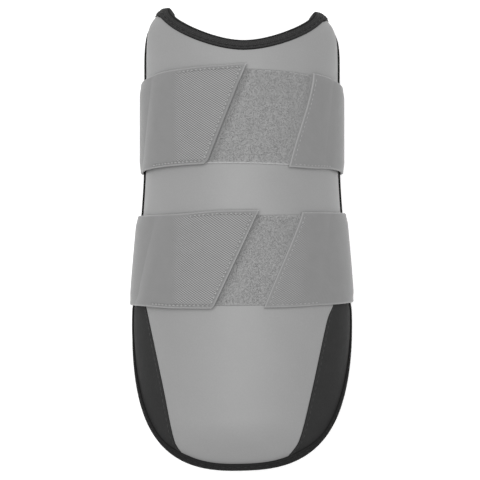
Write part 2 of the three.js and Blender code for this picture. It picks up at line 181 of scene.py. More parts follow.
# Rows of stitches
GUSSET_STITCH = dict(stitch=2.4, gap=0.8, thread=0.42)
TAB_STITCH = dict(stitch=1.5, gap=0.9, thread=0.75)
TAB_END_STITCH = dict(stitch=1.6, gap=0.8, thread=1.2)
SEWN_STITCH = dict(stitch=1.6, gap=1.0, thread=0.36)
PATCH_STITCH = dict(stitch=1.8, gap=1.5, thread=0.5)
TOP_TAPE_STITCH = dict(stitch=2.6, gap=1.1, thread=0.75)
RIM_TAPE_STITCH = dict(stitch=2.6, gap=1.1, thread=0.45)
LONG_EDGE_INSET = 1.5
TOP_EDGE_INSET = 1.9
END_INSET = 2
SEAM_STITCH_INSET = 1.9
PATCH_STITCH_INSET = 2.2
PATCH_STITCH_END = 0.8
SEWN_LENGTH = 30
PATH_POINTS = 80

# One stitch: its thickness along its length, and how far it arches and sinks in shares of its thread
STITCH_SIDES = 6
STITCH_RADII = np.array([0.45, 0.9, 1, 0.9, 0.45])
STITCH_ENDS_RISE = 0.1
STITCH_ARCH = 0.5
STITCH_SUNK = 1 / 3

# How the cloth is drawn in along a row of stitches and at each needle hole
ROW_DEPTH = 0.15
GROOVE_DEPTH = 0.12
GROOVE_WIDTH = 0.5
HOLE_DEPTH = 0.75
HOLE_WIDTH = 0.55

# Weaves. The slants of the twill's two diagonals allow for columns that lean with the tab's end.
TWILL_SLANT = 1.88
CROSSING_SLANT = -1.15
TWILL_PITCH = 1.8
CROSSING_SHARE = 0.45
MEAN_WEAVE = 0.45
ELASTIC_TONE = 0.214
COURSE_PITCH = 0.9
TAPE_MIDDLE = 3.2

# Steps of the numerical work, places over a rounded edge as shares of its radius, and a distance beyond
# any edge
SURFACE_STEP = 0.01
SETTLING_ROUNDS = 6
EDGE_SHARES = np.array([0, 0.08, 0.3, 0.62, 1])
FAR = 1e3


# Small helpers
def lerp(a, b, share):
    return a + (b - a) * share


def smoothstep(value, low, high):
    share = np.clip((value - low) / (high - low), 0, 1)
    return share * share * (3 - 2 * share)


def fade(value, low, high):
    return 1 - smoothstep(value, low, high)


def hump(distance, width):
    """Smooth hump of height 1 that dies out over a width."""
    return np.exp(-((distance / width) ** 2))


def unit(vectors):
    return vectors / np.linalg.norm(vectors, axis=-1, keepdims=True)


def dot(a, b):
    return (a * b).sum(-1)


def run_length(points):
    """Distance run along a line of points."""
    steps = np.linalg.norm(np.diff(points, axis=0), axis=-1)
    return np.concatenate([[0], np.cumsum(steps)])


def spread(length, count, radius):
    """Places from 0 to a length: close together over the two rounded edges, even in between."""
    edge = radius * EDGE_SHARES
    middle = np.linspace(radius, length - radius, count + 1)[1:-1]
    return np.concatenate([edge, middle, (length - edge)[::-1]])


def edge_drop(distance, radius):
    """How far a rounded edge falls away at a distance from it."""
    short = radius - np.clip(distance, 0, radius)
    return radius - np.sqrt(radius**2 - short**2)


def link_object(name, data):
    obj = bpy.data.objects.new(name, data)
    bpy.context.scene.collection.objects.link(obj)
    return obj


# The arch that every piece follows
def section(y, across=0.0):
    flare = FLARE * smoothstep(y, *FLARE_Y)
    swell = SWELL * smoothstep(y, *SWELL_Y)
    slim = (SWELL + SLIM) * smoothstep(y, *SLIM_Y)
    past_shoulder = np.maximum(0, y + TOP_LEAN * across - SHOULDER_Y)
    shoulder = SHOULDER_DROP * (past_shoulder / SHOULDER_LENGTH) ** SHOULDER_POWER
    bow = (y - CREST_Y) ** 2 / (2 * np.where(y > CREST_Y, UPPER_BOW_RADIUS, LOWER_BOW_RADIUS))
    nose = np.maximum(0, NOSE_Y - y) ** 2 / (2 * NOSE_RADIUS)
    crest = CREST_HEIGHT - bow - nose
    lift = smoothstep(y, *LIFT_Y)
    widest = WIDEST_HEIGHT + WIDEST_LIFT * lift
    rim = RIM_HEIGHT + RIM_LIFT * lift
    wrap = np.arccos((rim - widest) / (crest - widest))
    half_width = UPPER_HALF_WIDTH + flare + swell - slim - shoulder
    return dict(half_width=half_width, crest=crest, widest=widest, wrap=wrap, lift=lift)


def half_arc(y):
    """Rough length round the wall from its crest to a rim."""
    here = section(y)
    return here["wrap"] * here["half_width"]


def arch_point(across, y):
    here = section(y, across)
    angle = across * here["wrap"]
    turned = smoothstep(np.abs(angle), *CURL_ANGLES)
    curl = CURL * (1 + CURL_LEAN * across) * here["lift"] * turned
    x = here["half_width"] * np.sin(angle) - curl * np.sign(across)
    z = here["widest"] + (here["crest"] - here["widest"]) * np.cos(angle)
    return np.stack(np.broadcast_arrays(x, y, z), -1)


def arch_slopes(across, y):
    step = SURFACE_STEP
    across_slope = (arch_point(across + step, y) - arch_point(across - step, y)) / (2 * step)
    y_slope = (arch_point(across, y + step) - arch_point(across, y - step)) / (2 * step)
    return across_slope, y_slope


def arch_normal(across, y):
    return unit(np.cross(*arch_slopes(across, y)))


def layer_point(across, y, height):
    height = np.broadcast_to(height, np.broadcast(across, y).shape)
    return arch_point(across, y) + arch_normal(across, y) * height[..., None]


def top_edge(across):
    angle = np.abs(across) * TOP_WRAP
    scoop = SCOOP_RISE * np.sin(np.minimum(angle, HORN_ANGLE)) ** SCOOP_POWER
    turned = np.maximum(0, (angle - CORNER_ANGLE) / (TOP_WRAP - CORNER_ANGLE))
    corner = 1 - np.maximum(0, 1 - turned**CORNER_POWER) ** (1 / CORNER_POWER)
    return SCOOP_Y + scoop - CORNER_DROP * corner - TOP_LEAN * np.sin(across * HORN_ANGLE)


def tongue_curve(share):
    return np.maximum(0, 1 - share**TONGUE_POWER) ** (1 / TONGUE_POWER)


def bottom_edge(across):
    outward = np.abs(np.sin(across * math.pi / 2))
    rise = 1 - tongue_curve(outward)
    return TONGUE_END_Y + TONGUE_RISE * rise + TONGUE_LEAN * np.sin(across * HORN_ANGLE)


def wall_y(across, share):
    """Place along Y of a share of the way from the lower edge to the upper edge."""
    return lerp(bottom_edge(across), top_edge(across), share)


def edge_distance(across, y):
    arc = half_arc(y)
    step = SURFACE_STEP
    left = np.clip(1 - (y - TONGUE_END_Y) / TONGUE_RISE, 0, 1)
    reach = 2 / math.pi * np.arcsin(tongue_curve(left))
    distances = [(reach - np.abs(across)) * arc]
    for edge in (top_edge, bottom_edge):
        climb = (edge(across + step) - edge(across - step)) / (2 * step * arc)
        distances.append(np.abs(edge(across) - y) / np.hypot(1, climb))
    return 1 / np.sqrt(sum(1 / np.maximum(distance, step) ** 2 for distance in distances))


def slide(across, y, direction, distance):
    """Place on the outer face that lies a distance away from another along a direction."""
    target = arch_point(across, y) + direction * distance
    for _ in range(SETTLING_ROUNDS):
        across_slope, y_slope = arch_slopes(across, y)
        miss = target - arch_point(across, y)
        aa = dot(across_slope, across_slope)
        ay = dot(across_slope, y_slope)
        yy = dot(y_slope, y_slope)
        miss_across = dot(miss, across_slope)
        miss_y = dot(miss, y_slope)
        scale = aa * yy - ay * ay
        across = across + (yy * miss_across - ay * miss_y) / scale
        y = y + (aa * miss_y - ay * miss_across) / scale
    return across, y


# Meshes
def slab_faces(keep):
    """Quads of a closed slab over the kept cells of a grid. The outer grid's points come first."""
    columns, rows = keep.shape
    index = np.arange((columns + 1) * (rows + 1)).reshape(columns + 1, rows + 1)
    corners = np.stack([index[:-1, :-1], index[1:, :-1], index[1:, 1:], index[:-1, 1:]], -1)
    outer = corners[keep]
    faces = [outer, outer[:, ::-1] + index.size]
    fenced = np.pad(keep, 1)
    for edge, (di, dj) in enumerate([(0, -1), (1, 0), (0, 1), (-1, 0)]):
        neighbour = fenced[1 + di : 1 + di + columns, 1 + dj : 1 + dj + rows]
        rim = corners[keep & ~neighbour]
        start, stop = rim[:, edge], rim[:, (edge + 1) % 4]
        faces.append(np.stack([start + index.size, stop + index.size, stop, start], -1))
    return np.concatenate(faces)


def tube_faces(lines, rings, sides):
    """Quads of many tubes of the same make, and the polygons that close their two ends."""
    index = np.arange(lines * rings * sides).reshape(lines, rings, sides)
    turned = np.roll(index, -1, axis=2)
    quads = np.stack([index[:, :-1], turned[:, :-1], turned[:, 1:], index[:, 1:]], -1).reshape(-1, 4)
    caps = [index[:, 0, ::-1].reshape(-1, sides), index[:, -1].reshape(-1, sides)]
    return quads, np.concatenate(caps)


class Shape:
    """Points, faces and values at the points, gathered for one mesh."""

    def __init__(self):
        self.points = []
        self.faces = []
        self.values = []
        self.count = 0

    def add_slab(self, outer, inner, keep=None, **values):
        """Adds a closed slab between two grids of points, over the cells that are kept."""
        if keep is None:
            keep = np.ones((outer.shape[0] - 1, outer.shape[1] - 1), bool)
        used, renumbered = np.unique(slab_faces(keep), return_inverse=True)
        self.points.append(np.concatenate([outer.reshape(-1, 3), inner.reshape(-1, 3)])[used])
        self.faces.append(renumbered.reshape(-1, 4) + self.count)
        size = outer[..., 0].size
        both = {name: np.concatenate([value.reshape(size, -1)] * 2) for name, value in values.items()}
        self.values.append({name: value[used] for name, value in both.items()})
        self.count += len(used)

    def add_tubes(self, points, **values):
        """Adds closed tubes whose points are given by line, ring and side."""
        quads, caps = tube_faces(*points.shape[:3])
        self.points.append(points.reshape(-1, 3))
        self.faces += [quads + self.count, caps + self.count]
        self.values.append(values)
        self.count += points[..., 0].size

    def piece(self, name, material, slot, replaces=()):
        mesh = bpy.data.meshes.new(name)
        points = np.concatenate(self.points) * MM
        faces = [face for block in self.faces for face in block.tolist()]
        mesh.from_pydata(points.tolist(), [], faces)
        corner_points = np.zeros(len(mesh.loops), np.int32)
        mesh.loops.foreach_get("vertex_index", corner_points)
        for key in self.values[0]:
            value = np.concatenate([block[key] for block in self.values])
            if value.shape[-1] == 2:
                layer = mesh.uv_layers.new(name=key)
                layer.data.foreach_set("uv", value[corner_points].astype(np.float32).ravel())
            else:
                attribute = mesh.attributes.new(key, "FLOAT", "POINT")
                attribute.data.foreach_set("value", value.astype(np.float32).ravel())
        mesh.polygons.foreach_set("use_smooth", np.ones(len(mesh.polygons), bool))
        mesh.materials.append(material)
        mesh.update()
        obj = link_object(name, mesh)
        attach(obj, BODY)
        if replaces:
            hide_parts(*replaces)
        return obj


def slab_piece(name, material, slot, node, outer, inner, keep=None, **values):
    """A piece made of one slab, which stands for a node."""
    shape = Shape()
    shape.add_slab(outer, inner, keep, **values)
    return shape.piece(name, material, slot, [node])


def add_threads(shape, centres, sideways, upright, radii, sides, **values):
    """Adds round threads along centre lines given as arrays of (line, ring, xyz)."""
    turn = np.linspace(0, 2 * math.pi, sides, endpoint=False)[:, None]
    around = sideways[..., None, :] * np.cos(turn) + upright[..., None, :] * np.sin(turn)
    radii = np.broadcast_to(radii, centres.shape[:2])[..., None, None]
    shape.add_tubes(centres[..., None, :] + around * radii, **values)


def add_stitches(shape, path, normals, stitch, gap, thread):
    """Adds a row of stitches along a path on a surface, and gives the needle holes at their ends."""
    run = run_length(path)
    count = int(run[-1] // (stitch + gap))
    start = (run[-1] - count * (stitch + gap) + gap) / 2 + np.arange(count) * (stitch + gap)
    share = np.linspace(0, 1, len(STITCH_RADII))
    at = start[:, None] + stitch * share

    def along(values, where):
        return np.stack([np.interp(where, run, values[:, k]) for k in range(3)], -1)

    up = unit(along(normals, at))
    ahead = unit(along(path, at + SURFACE_STEP) - along(path, at - SURFACE_STEP))
    rise = thread * (STITCH_ENDS_RISE + STITCH_ARCH * np.sin(math.pi * share) - STITCH_SUNK)
    centres = along(path, at) + up * rise[:, None]
    add_threads(shape, centres, np.cross(ahead, up), up, thread / 2 * STITCH_RADII, STITCH_SIDES)
    return np.concatenate([centres[:, 0], centres[:, -1]])


def nearest(points, targets):
    """Distance of each point from the nearest of some others."""
    best = np.full(points.shape[:-1], np.inf)
    for target in targets:
        best = np.minimum(best, np.linalg.norm(points - target, axis=-1))
    return best


# Materials. Sizes, pitches and depths are in millimetres.
class Finish:
    """A node material round one Principled shader. Fixed values sit on the shader's own sockets."""

    def __init__(self, name, **fixed):
        self.material = bpy.data.materials.new(name)
        self.material.use_nodes = True
        self.nodes = self.material.node_tree.nodes
        self.links = self.material.node_tree.links
        self.shader = self.nodes["Principled BSDF"]
        for socket, value in fixed.items():
            self.shader.inputs[socket.replace("_", " ")].default_value = value

    def add(self, kind, settings=None, **sources):
        node = self.nodes.new(kind)
        for name, value in (settings or {}).items():
            setattr(node, name, value)
        for socket, source in sources.items():
            self.feed(node.inputs[socket.replace("_", " ")], source)
        return node

    def feed(self, socket, source):
        if isinstance(source, bpy.types.NodeSocket):
            self.links.new(source, socket)
        else:
            socket.default_value = source

    def math(self, operation, *values):
        node = self.add("ShaderNodeMath", {"operation": operation})
        for socket, value in zip(node.inputs, values):
            self.feed(socket, value)
        return node.outputs[0]

    def times(self, a, b):
        return self.math("MULTIPLY", a, b)

    def plus(self, base, value, factor):
        """A base with a value times a factor added to it."""
        return self.math("MULTIPLY_ADD", value, factor, base)

    def scaled(self, value, low, high):
        """A value from 0 to 1 taken to lie between two others."""
        return self.plus(low, value, high - low)

    def ramp(self, value, low, high):
        """Smooth climb from 0 to 1 as a value goes from low to high."""
        smooth = {"interpolation_type": "SMOOTHSTEP"}
        node = self.add("ShaderNodeMapRange", smooth, Value=value, From_Min=low, From_Max=high)
        return node.outputs["Result"]

    def place(self):
        return self.add("ShaderNodeTexCoord").outputs["Object"]

    def weave_place(self):
        """The two distances along and across a band."""
        uv = self.add("ShaderNodeUVMap", {"uv_map": "weave"}).outputs["UV"]
        parts = self.add("ShaderNodeSeparateXYZ", Vector=uv)
        return parts.outputs["X"], parts.outputs["Y"]

    def value(self, name):
        return self.add("ShaderNodeAttribute", {"attribute_name": name}).outputs["Fac"]

    def noise(self, size, detail=2.0):
        """Cloudy value round one half."""
        node = self.add("ShaderNodeTexNoise", Vector=self.place(), Scale=1 / (size * MM), Detail=detail)
        return node.outputs["Fac"]

    def clouds(self, size, low, high):
        return self.scaled(self.noise(size, detail=3), low, high)

    def specks(self, size):
        return self.ramp(self.noise(size, detail=1), low=0.3, high=0.7)

    def cells(self, size):
        """Small round cells, as the distance from their middles."""
        smooth = {"feature": "SMOOTH_F1"}
        node = self.add("ShaderNodeTexVoronoi", smooth, Vector=self.place(), Scale=1 / (size * MM))
        return node.outputs["Distance"]

    def wave(self, phase):
        """Smooth wave from 0 to 1, one for each whole phase."""
        turns = self.times(phase, 2 * math.pi)
        return self.scaled(self.math("SINE", turns), low=0.5, high=1)

    def ribs(self, distance, pitch):
        return self.wave(self.math("DIVIDE", distance, pitch))

    def grey(self, value):
        self.feed(self.shader.inputs["Base Color"], value)

    def surface(self, tone, rough, relief, depth, fibre=None, fibre_depth=None):
        """The material with a tone, a roughness, a relief from 0 to 1, and fibres of a size on top of it."""
        self.grey(tone)
        self.feed(self.shader.inputs["Roughness"], rough)
        bump = self.add("ShaderNodeBump", Height=relief, Distance=depth * MM, Strength=1.0)
        if fibre:
            below = bump.outputs["Normal"]
            sources = dict(Height=self.noise(fibre), Distance=fibre_depth * MM, Normal=below)
            bump = self.add("ShaderNodeBump", Strength=1.0, **sources)
        self.feed(self.shader.inputs["Normal"], bump.outputs["Normal"])
        return self.material


def coated_finish(name, shine, cloud, tones, grain, contrast, worn, rough, depth, fibre):
    """Coated cloth with clouds of tone and a fine grain."""
    finish = Finish(name, Specular_IOR_Level=shine)
    tone = finish.clouds(cloud, *tones)
    cells = finish.cells(grain)
    return finish.surface(
        tone=finish.times(tone, finish.scaled(cells, 1 - contrast, 1 + contrast)),
        rough=finish.scaled(finish.noise(worn), *rough),
        relief=cells, depth=depth, fibre=fibre, fibre_depth=0.02,
    )


def cover_finish():
    """Grey synthetic cover."""
    return coated_finish(
        "grey_cover", shine=0.18, cloud=18, tones=(0.27, 0.29), grain=0.7, contrast=0.03,
        worn=4, rough=(0.4, 0.5), depth=0.03, fibre=0.35,
    )


def gusset_finish():
    """Dull black cloth."""
    return coated_finish(
        "black_gusset", shine=0.04, cloud=9, tones=(0.0275, 0.034), grain=0.6, contrast=0.1,
        worn=3, rough=(0.6, 0.75), depth=0.04, fibre=0.4,
    )


def lining_finish():
    """Black knitted lining: rows of small loops."""
    finish = Finish("knit_lining", Specular_IOR_Level=0.15, Sheen_Weight=0.15, Sheen_Roughness=0.5)
    along, across = finish.weave_place()
    wale = finish.ribs(across, pitch=1.1)
    courses = finish.math("DIVIDE", along, COURSE_PITCH)
    knit = finish.times(wale, finish.wave(finish.plus(courses, wale, factor=0.4)))
    clouds = finish.clouds(size=14, low=0.85, high=1.15)
    return finish.surface(
        tone=finish.times(finish.scaled(knit, low=0.012, high=0.03), clouds),
        rough=finish.scaled(knit, low=0.85, high=0.7),
        relief=knit, depth=0.22, fibre=0.3, fibre_depth=0.04,
    )


def tape_finish(name, tones, edge_tone):
    """Black woven binding tape, its tone lowered towards both edges."""
    finish = Finish(name, Specular_IOR_Level=0.08)
    along, across = finish.weave_place()
    rib = finish.ribs(finish.plus(along, across, factor=0.6), pitch=1.15)
    weave = finish.times(rib, finish.ribs(across, pitch=0.95))
    specks = finish.scaled(finish.specks(size=0.6), low=0.55, high=1)
    raised = finish.times(finish.scaled(weave, low=0.4, high=1), specks)
    off_middle = finish.math("ABSOLUTE", finish.math("SUBTRACT", across, TAPE_MIDDLE))
    selvage = finish.scaled(finish.ramp(off_middle, low=1.6, high=2.3), low=1, high=edge_tone)
    return finish.surface(
        tone=finish.times(finish.scaled(raised, *tones), selvage),
        rough=finish.scaled(finish.noise(size=1.5), low=0.65, high=0.8),
        relief=weave, depth=0.14, fibre=0.4, fibre_depth=0.04,
    )


def elastic_finish():
    """Grey elastic: diagonal twill over the closure, fine ribs elsewhere, and highlights painted along its
    ends and selvages.
    """
    finish = Finish("grey_elastic", Specular_IOR_Level=0.25, Sheen_Weight=0.25, Sheen_Roughness=0.4)
    along, across = finish.weave_place()
    twill = finish.value("twill")
    diagonal = finish.ribs(finish.plus(along, across, TWILL_SLANT), TWILL_PITCH)
    crossing = finish.ribs(finish.plus(along, across, CROSSING_SLANT), TWILL_PITCH)
    raised = finish.plus(finish.times(diagonal, 1 - CROSSING_SHARE), crossing, CROSSING_SHARE)
    row = finish.scaled(finish.ribs(across, pitch=0.7), low=0.6, high=1)
    fine = finish.times(finish.ribs(along, pitch=0.85), row)
    weave = finish.plus(fine, finish.math("SUBTRACT", raised, fine), twill)
    contrast = finish.scaled(twill, low=0.025, high=0.24)
    woven = finish.plus(ELASTIC_TONE, finish.math("SUBTRACT", weave, MEAN_WEAVE), contrast)
    clouded = finish.times(woven, finish.clouds(size=6, low=0.95, high=1.05))
    return finish.surface(
        # Highlights painted along the folded end, the cut edge and the selvages lighten the tone.
        tone=finish.plus(clouded, finish.value("pale"), factor=0.09),
        rough=finish.scaled(weave, low=0.85, high=0.7),
        relief=finish.times(weave, finish.scaled(twill, low=0.3, high=1)), depth=0.12,
        fibre=0.3, fibre_depth=0.03,
    )


def loop_finish():
    """Grey loop pile, darkened by painted shadow beside the tab's end, with a painted highlight along its
    lower edge.
    """
    finish = Finish("grey_loop", Specular_IOR_Level=0.15, Sheen_Weight=0.1, Sheen_Roughness=0.5)
    tufts = finish.specks(size=0.8)
    # Painted shadow: the pile's tone drops beside the tab's end.
    pressed = finish.scaled(finish.value("pressed"), low=1, high=0.82)
    shaded = finish.times(finish.clouds(size=7, low=0.95, high=1.05), pressed)
    pile = finish.times(finish.scaled(tufts, low=0.242, high=0.292), shaded)
    return finish.surface(
        # Painted highlight along the patch's lower edge.
        tone=finish.plus(pile, finish.value("selvage"), factor=0.16),
        rough=finish.scaled(tufts, low=0.95, high=0.8),
        relief=tufts, depth=0.05, fibre=0.4, fibre_depth=0.03,
    )


def hook_finish():
    """Grey hook tape: rows of small hooks."""
    finish = Finish("grey_hook", Specular_IOR_Level=0.3)
    along, across = finish.weave_place()
    hooks = finish.times(finish.ribs(along, pitch=1.5), finish.ribs(across, pitch=1.2))
    return finish.surface(
        tone=finish.scaled(hooks, low=0.06, high=0.13),
        rough=finish.scaled(finish.noise(size=2), low=0.5, high=0.7),
        relief=hooks, depth=0.25,
    )


def thread_finish(name, low, high):
    """Sewing thread."""
    finish = Finish(name, Specular_IOR_Level=0.3, Sheen_Weight=0.1, Sheen_Roughness=0.4)
    fibres = finish.noise(size=0.3)
    rough = finish.scaled(fibres, low=0.75, high=0.55)
    return finish.surface(finish.scaled(fibres, low, high), rough, relief=fibres, depth=0.05)


# The cover: front panel and two gussets on one grid that follows their seams
PANEL_COLUMNS = 76
GUSSET_COLUMNS = 16
ROWS_BELOW = 44
ROWS_ABOVE = 72
SEAM_SAMPLES = 12
SEAM_HALVINGS = 40
SEAM_STEPS = np.array([0.15, 0.3, 0.55, 0.85, 1.2, 1.55, 1.9, 2.25, 2.7, 3.4])
SEAM_END_SHARE = 0.02
PANEL_ROLL = 1.2
GUSSET_ROLL = 0.8
RIDGE = 0.35
RIDGE_EDGES = (1.5, 2.9)
SEAM_GROOVE = 0.25
SEAM_GROOVE_WIDTH = 0.35


def seam_line(points):
    """Smooth line through the points of a seam."""
    knots = np.array(points, float)
    guided = knots[[0, *range(len(knots)), -1]]
    t = np.linspace(0, 1, SEAM_SAMPLES, endpoint=False)[:, None]
    line = []
    for before, start, stop, after in zip(guided, guided[1:], guided[2:], guided[3:]):
        leave = (stop - before) / 2
        arrive = (after - start) / 2
        cubic = 2 * start - 2 * stop + leave + arrive
        square = 3 * stop - 3 * start - 2 * leave - arrive
        line.append(((cubic * t + square) * t + leave) * t + start)
    return np.concatenate([*line, knots[-1:]])


def seam_across(side, share):
    """Where the seam on a side crosses a row of the wall, by halving."""
    line = seam_line(GUSSET_SEAMS[side])[::-1]
    inside = np.zeros_like(share)
    outside = np.full_like(share, float(side))
    for _ in range(SEAM_HALVINGS):
        middle = (inside + outside) / 2
        point = arch_point(middle, wall_y(middle, share))
        past = side * (point[..., 0] - np.interp(point[..., 1], line[:, 1], line[:, 0])) > 0
        outside = np.where(past, middle, outside)
        inside = np.where(past, inside, middle)
    return (inside + outside) / 2


def cover_grid():
    """Shares of the way up of the grid's rows, positions across of each part's columns, the length round
    the wall and the positions of the two seams."""
    below = np.linspace(0, GUSSET_TOP_SHARE, ROWS_BELOW + 1)
    above = np.linspace(GUSSET_TOP_SHARE, 1, ROWS_ABOVE + 1)[1:]
    share = np.concatenate([below, above])
    left, right = (seam_across(side, np.minimum(share, GUSSET_TOP_SHARE)) for side in (-1, 1))
    arc = half_arc(wall_y(left, share))
    near = SEAM_STEPS[:, None] / arc
    last = near[-1]
    even = np.linspace(0, 1, GUSSET_COLUMNS + 1)[:-1, None]
    middle = np.linspace(0, 1, PANEL_COLUMNS + 1)[1:-1, None]
    left_gusset = np.concatenate([lerp(-1, left - last, even), (left - near)[::-1]])
    right_gusset = np.concatenate([right + near, lerp(1, right + last, even)[::-1]])
    panel = np.concatenate([left + near, lerp(left + last, right - last, middle), (right - near)[::-1]])
    return share, dict(left=left_gusset, panel=panel, right=right_gusset), arc, left, right


def gusset_height(distance):
    """Folded seam allowance beside the seam, held down by a row of stitches."""
    ridge = RIDGE * fade(distance, *RIDGE_EDGES)
    groove = SEAM_GROOVE * hump(distance - SEAM_STITCH_INSET, SEAM_GROOVE_WIDTH)
    return ridge - groove - edge_drop(distance, GUSSET_ROLL)


def cover_parts():
    """Positions across and along Y, and the slab, of the left gusset, the panel and the right gusset."""
    share, columns, arc, left, right = cover_grid()
    parts = {}
    for name, across in columns.items():
        rows = np.broadcast_to(share, across.shape)
        distance = np.minimum(np.abs(across - left), np.abs(across - right)) * arc
        height = -edge_drop(distance, PANEL_ROLL) if name == "panel" else gusset_height(distance)
        height = height * fade(rows, GUSSET_TOP_SHARE - SEAM_END_SHARE, GUSSET_TOP_SHARE)
        y = wall_y(across, rows)
        slab = dict(
            outer=layer_point(across, y, height),
            inner=layer_point(across, y, -PANEL),
            weave=np.stack([across * arc, y], -1),
        )
        parts[name] = (across, y, slab)
    return parts


def build_panel(parts, below):
    """The panel runs over the whole grid above the gussets' upper ends, and between their seams below."""
    slabs = [slab for _, _, slab in parts]
    joined = {key: np.concatenate([slab[key] for slab in slabs]) for key in slabs[0]}
    left, middle, right = (len(across) for across, _, _ in parts)
    keep = np.ones((left + middle + right - 1, len(below)), bool)
    keep[:left, below] = False
    keep[left + middle - 1 :, below] = False
    panel = slab_piece("cover_panel", cover_finish(), "cover", "front_panel", keep=keep, **joined)


def build_gusset(side, part, below, material, thread):
    across, y, slab = part
    keep = np.broadcast_to(below, (len(across) - 1, len(below)))
    gusset = slab_piece(f"{side}_gusset_cover", material, "gusset", f"gusset_{side}", keep=keep, **slab)
    from_seam = list(SEAM_STEPS).index(SEAM_STITCH_INSET)
    column = len(across) - 1 - from_seam if side == "left" else from_seam
    row = across[column, :-1][below], y[column, :-1][below]
    stitches = Shape()
    add_stitches(stitches, layer_point(*row, 0.0), arch_normal(*row), **GUSSET_STITCH)
    stitches.piece(f"{side}_gusset_stitches", thread, "gusset")


def build_cover():
    parts = cover_parts()
    below = np.arange(ROWS_BELOW + ROWS_ABOVE) < ROWS_BELOW
    build_panel(list(parts.values()), below)
    black = gusset_finish()
    thread = thread_finish("black_thread", low=0.02, high=0.05)
    for side in ("left", "right"):
        build_gusset(side, parts[side], below, black, thread)


# The padding, whose lining shows inside the arch
PAD_COLUMNS = 46
PAD_ROWS = 110


def build_pad():
    half = np.sin(np.linspace(0, math.pi / 2, PAD_COLUMNS + 1))
    across = np.concatenate([-half[:0:-1], half])[:, None]
    share = (1 - np.cos(np.linspace(0, math.pi, PAD_ROWS + 1)))[None] / 2
    across, share = np.broadcast_arrays(across, share)
    y = wall_y(across, share)
    fullness = smoothstep(edge_distance(across, y), *PINCH)
    depth = PANEL + GAP + lerp(PAD_AT_EDGE, PAD, fullness)
    outer, inner = layer_point(across, y, -(PANEL + GAP)), layer_point(across, y, -depth)
    weave = np.stack([y, across * half_arc(y)], -1)
    pad = slab_piece("lined_pad", lining_finish(), "lining", "inner_pad", outer, inner, weave=weave)


# Binding tape folded over the edge. The top tape ends at a share of the way round.
TAPE_WIDTH = 4.2
TAPE_TOP = 1.2
TAPE_BOTTOM = 0.06
TAPE_OUT = 1.1
TAPE_STITCH_INSET = 2.5
TAPE_GROOVE = 0.35
FOLD_HEIGHT = -1.4
TOP_TAPE_END = 0.8874
TAPE_ENDS_GAP = 0.6
TAPE_STEP = 0.75
HORN_WIDENING = 0.4
HORN_WRAP = math.radians(66)
HORN_SPREAD = math.radians(9)
CORNER_NARROWING = 0.5
CORNER_FROM = (0.3, 0.55)
CORNER_TO = (0.96, 1)

# Samples of the edges that the tapes follow, from which even places are picked
TOP_SAMPLES = 1200
CORNER_SAMPLES = 300
BOTTOM_SAMPLES = 3000
RIM_SAMPLES = 400


def tape_profile():
    """The folded tape as inset from the edge and height over the panel: outside, then the hidden inside."""
    flange = [
        (TAPE_WIDTH, TAPE_BOTTOM),
        (TAPE_WIDTH + 0.05, 0.5),
        (TAPE_WIDTH - 0.25, 0.95),
        (TAPE_WIDTH - 0.6, TAPE_TOP - 0.08),
        (TAPE_STITCH_INSET + 0.6, TAPE_TOP - 0.05),
        (TAPE_STITCH_INSET + 0.25, TAPE_TOP - 0.25),
        (TAPE_STITCH_INSET, TAPE_TOP - TAPE_GROOVE),
        (TAPE_STITCH_INSET - 0.25, TAPE_TOP - 0.25),
        (TAPE_STITCH_INSET - 0.6, TAPE_TOP - 0.03),
        (0.7, TAPE_TOP),
        (0, TAPE_TOP - 0.04),
        (-0.5, TAPE_TOP - 0.3),
        (-0.9, 0.4),
        (-TAPE_OUT, -0.4),
        (-TAPE_OUT, FOLD_HEIGHT),
    ]
    mirrored = [(inset, -EDGE_WALL - height) for inset, height in reversed(flange)]
    lips = [(TAPE_WIDTH - 0.4, TAPE_BOTTOM), (1.5, TAPE_BOTTOM), (-GAP, TAPE_BOTTOM)]
    inside = [(inset, -EDGE_WALL - height) for inset, height in lips]
    return [*flange, *mirrored, *inside, *reversed(lips)]


def even_places(across, y):
    run = run_length(arch_point(across, y))
    at = np.linspace(0, run[-1], int(run[-1] / TAPE_STEP) + 1)
    return np.interp(at, run, across), np.interp(at, run, y)


def top_tape_width(across):
    """How many times its own width the top tape covers: more over the horns, where it turns round them."""
    return 1 + HORN_WIDENING * hump(np.abs(across) * TOP_WRAP - HORN_WRAP, HORN_SPREAD)


def rim_tape_width(across):
    """How many times its own width the rim tape covers: less round the corners of the tongue."""
    corner = smoothstep(np.abs(across), *CORNER_FROM) * fade(np.abs(across), *CORNER_TO)
    return 1 - CORNER_NARROWING * corner


def build_binding(name, node, across, y, width, material, thread, stitch):
    across, y = even_places(across, y)
    edge = arch_point(across, y)
    normal = arch_normal(across, y)
    inward = unit(np.cross(normal, np.gradient(edge, axis=0)))
    run = run_length(edge)
    profile = tape_profile()
    round_tape = run_length(np.array(profile))
    fold = round_tape[profile.index((-TAPE_OUT, FOLD_HEIGHT))]
    round_tape = np.where(round_tape > fold, 2 * fold - round_tape, round_tape)

    def seat(inset):
        return slide(across, y, inward, (inset * width(across))[:, None])

    rings = []
    weave = []
    for (inset, height), lateral in zip(profile, round_tape):
        if inset > 0:
            rings.append(layer_point(*seat(inset), height))
        else:
            rings.append(edge + inward * inset + normal * height)
        weave.append(np.stack([run, np.full_like(run, lateral)], -1))
    shape = Shape()
    shape.add_tubes(np.stack(rings, 1)[None], weave=np.stack(weave, 1).reshape(-1, 2))
    shape.piece(name, material, "tape", [node])
    stitches = Shape()
    row = seat(TAPE_STITCH_INSET)
    for facing, height in ((1, TAPE_TOP - TAPE_GROOVE), (-1, -EDGE_WALL - TAPE_TOP + TAPE_GROOVE)):
        add_stitches(stitches, layer_point(*row, height), arch_normal(*row) * facing, **stitch)
    stitches.piece(f"{name}_stitches", thread, "tape")


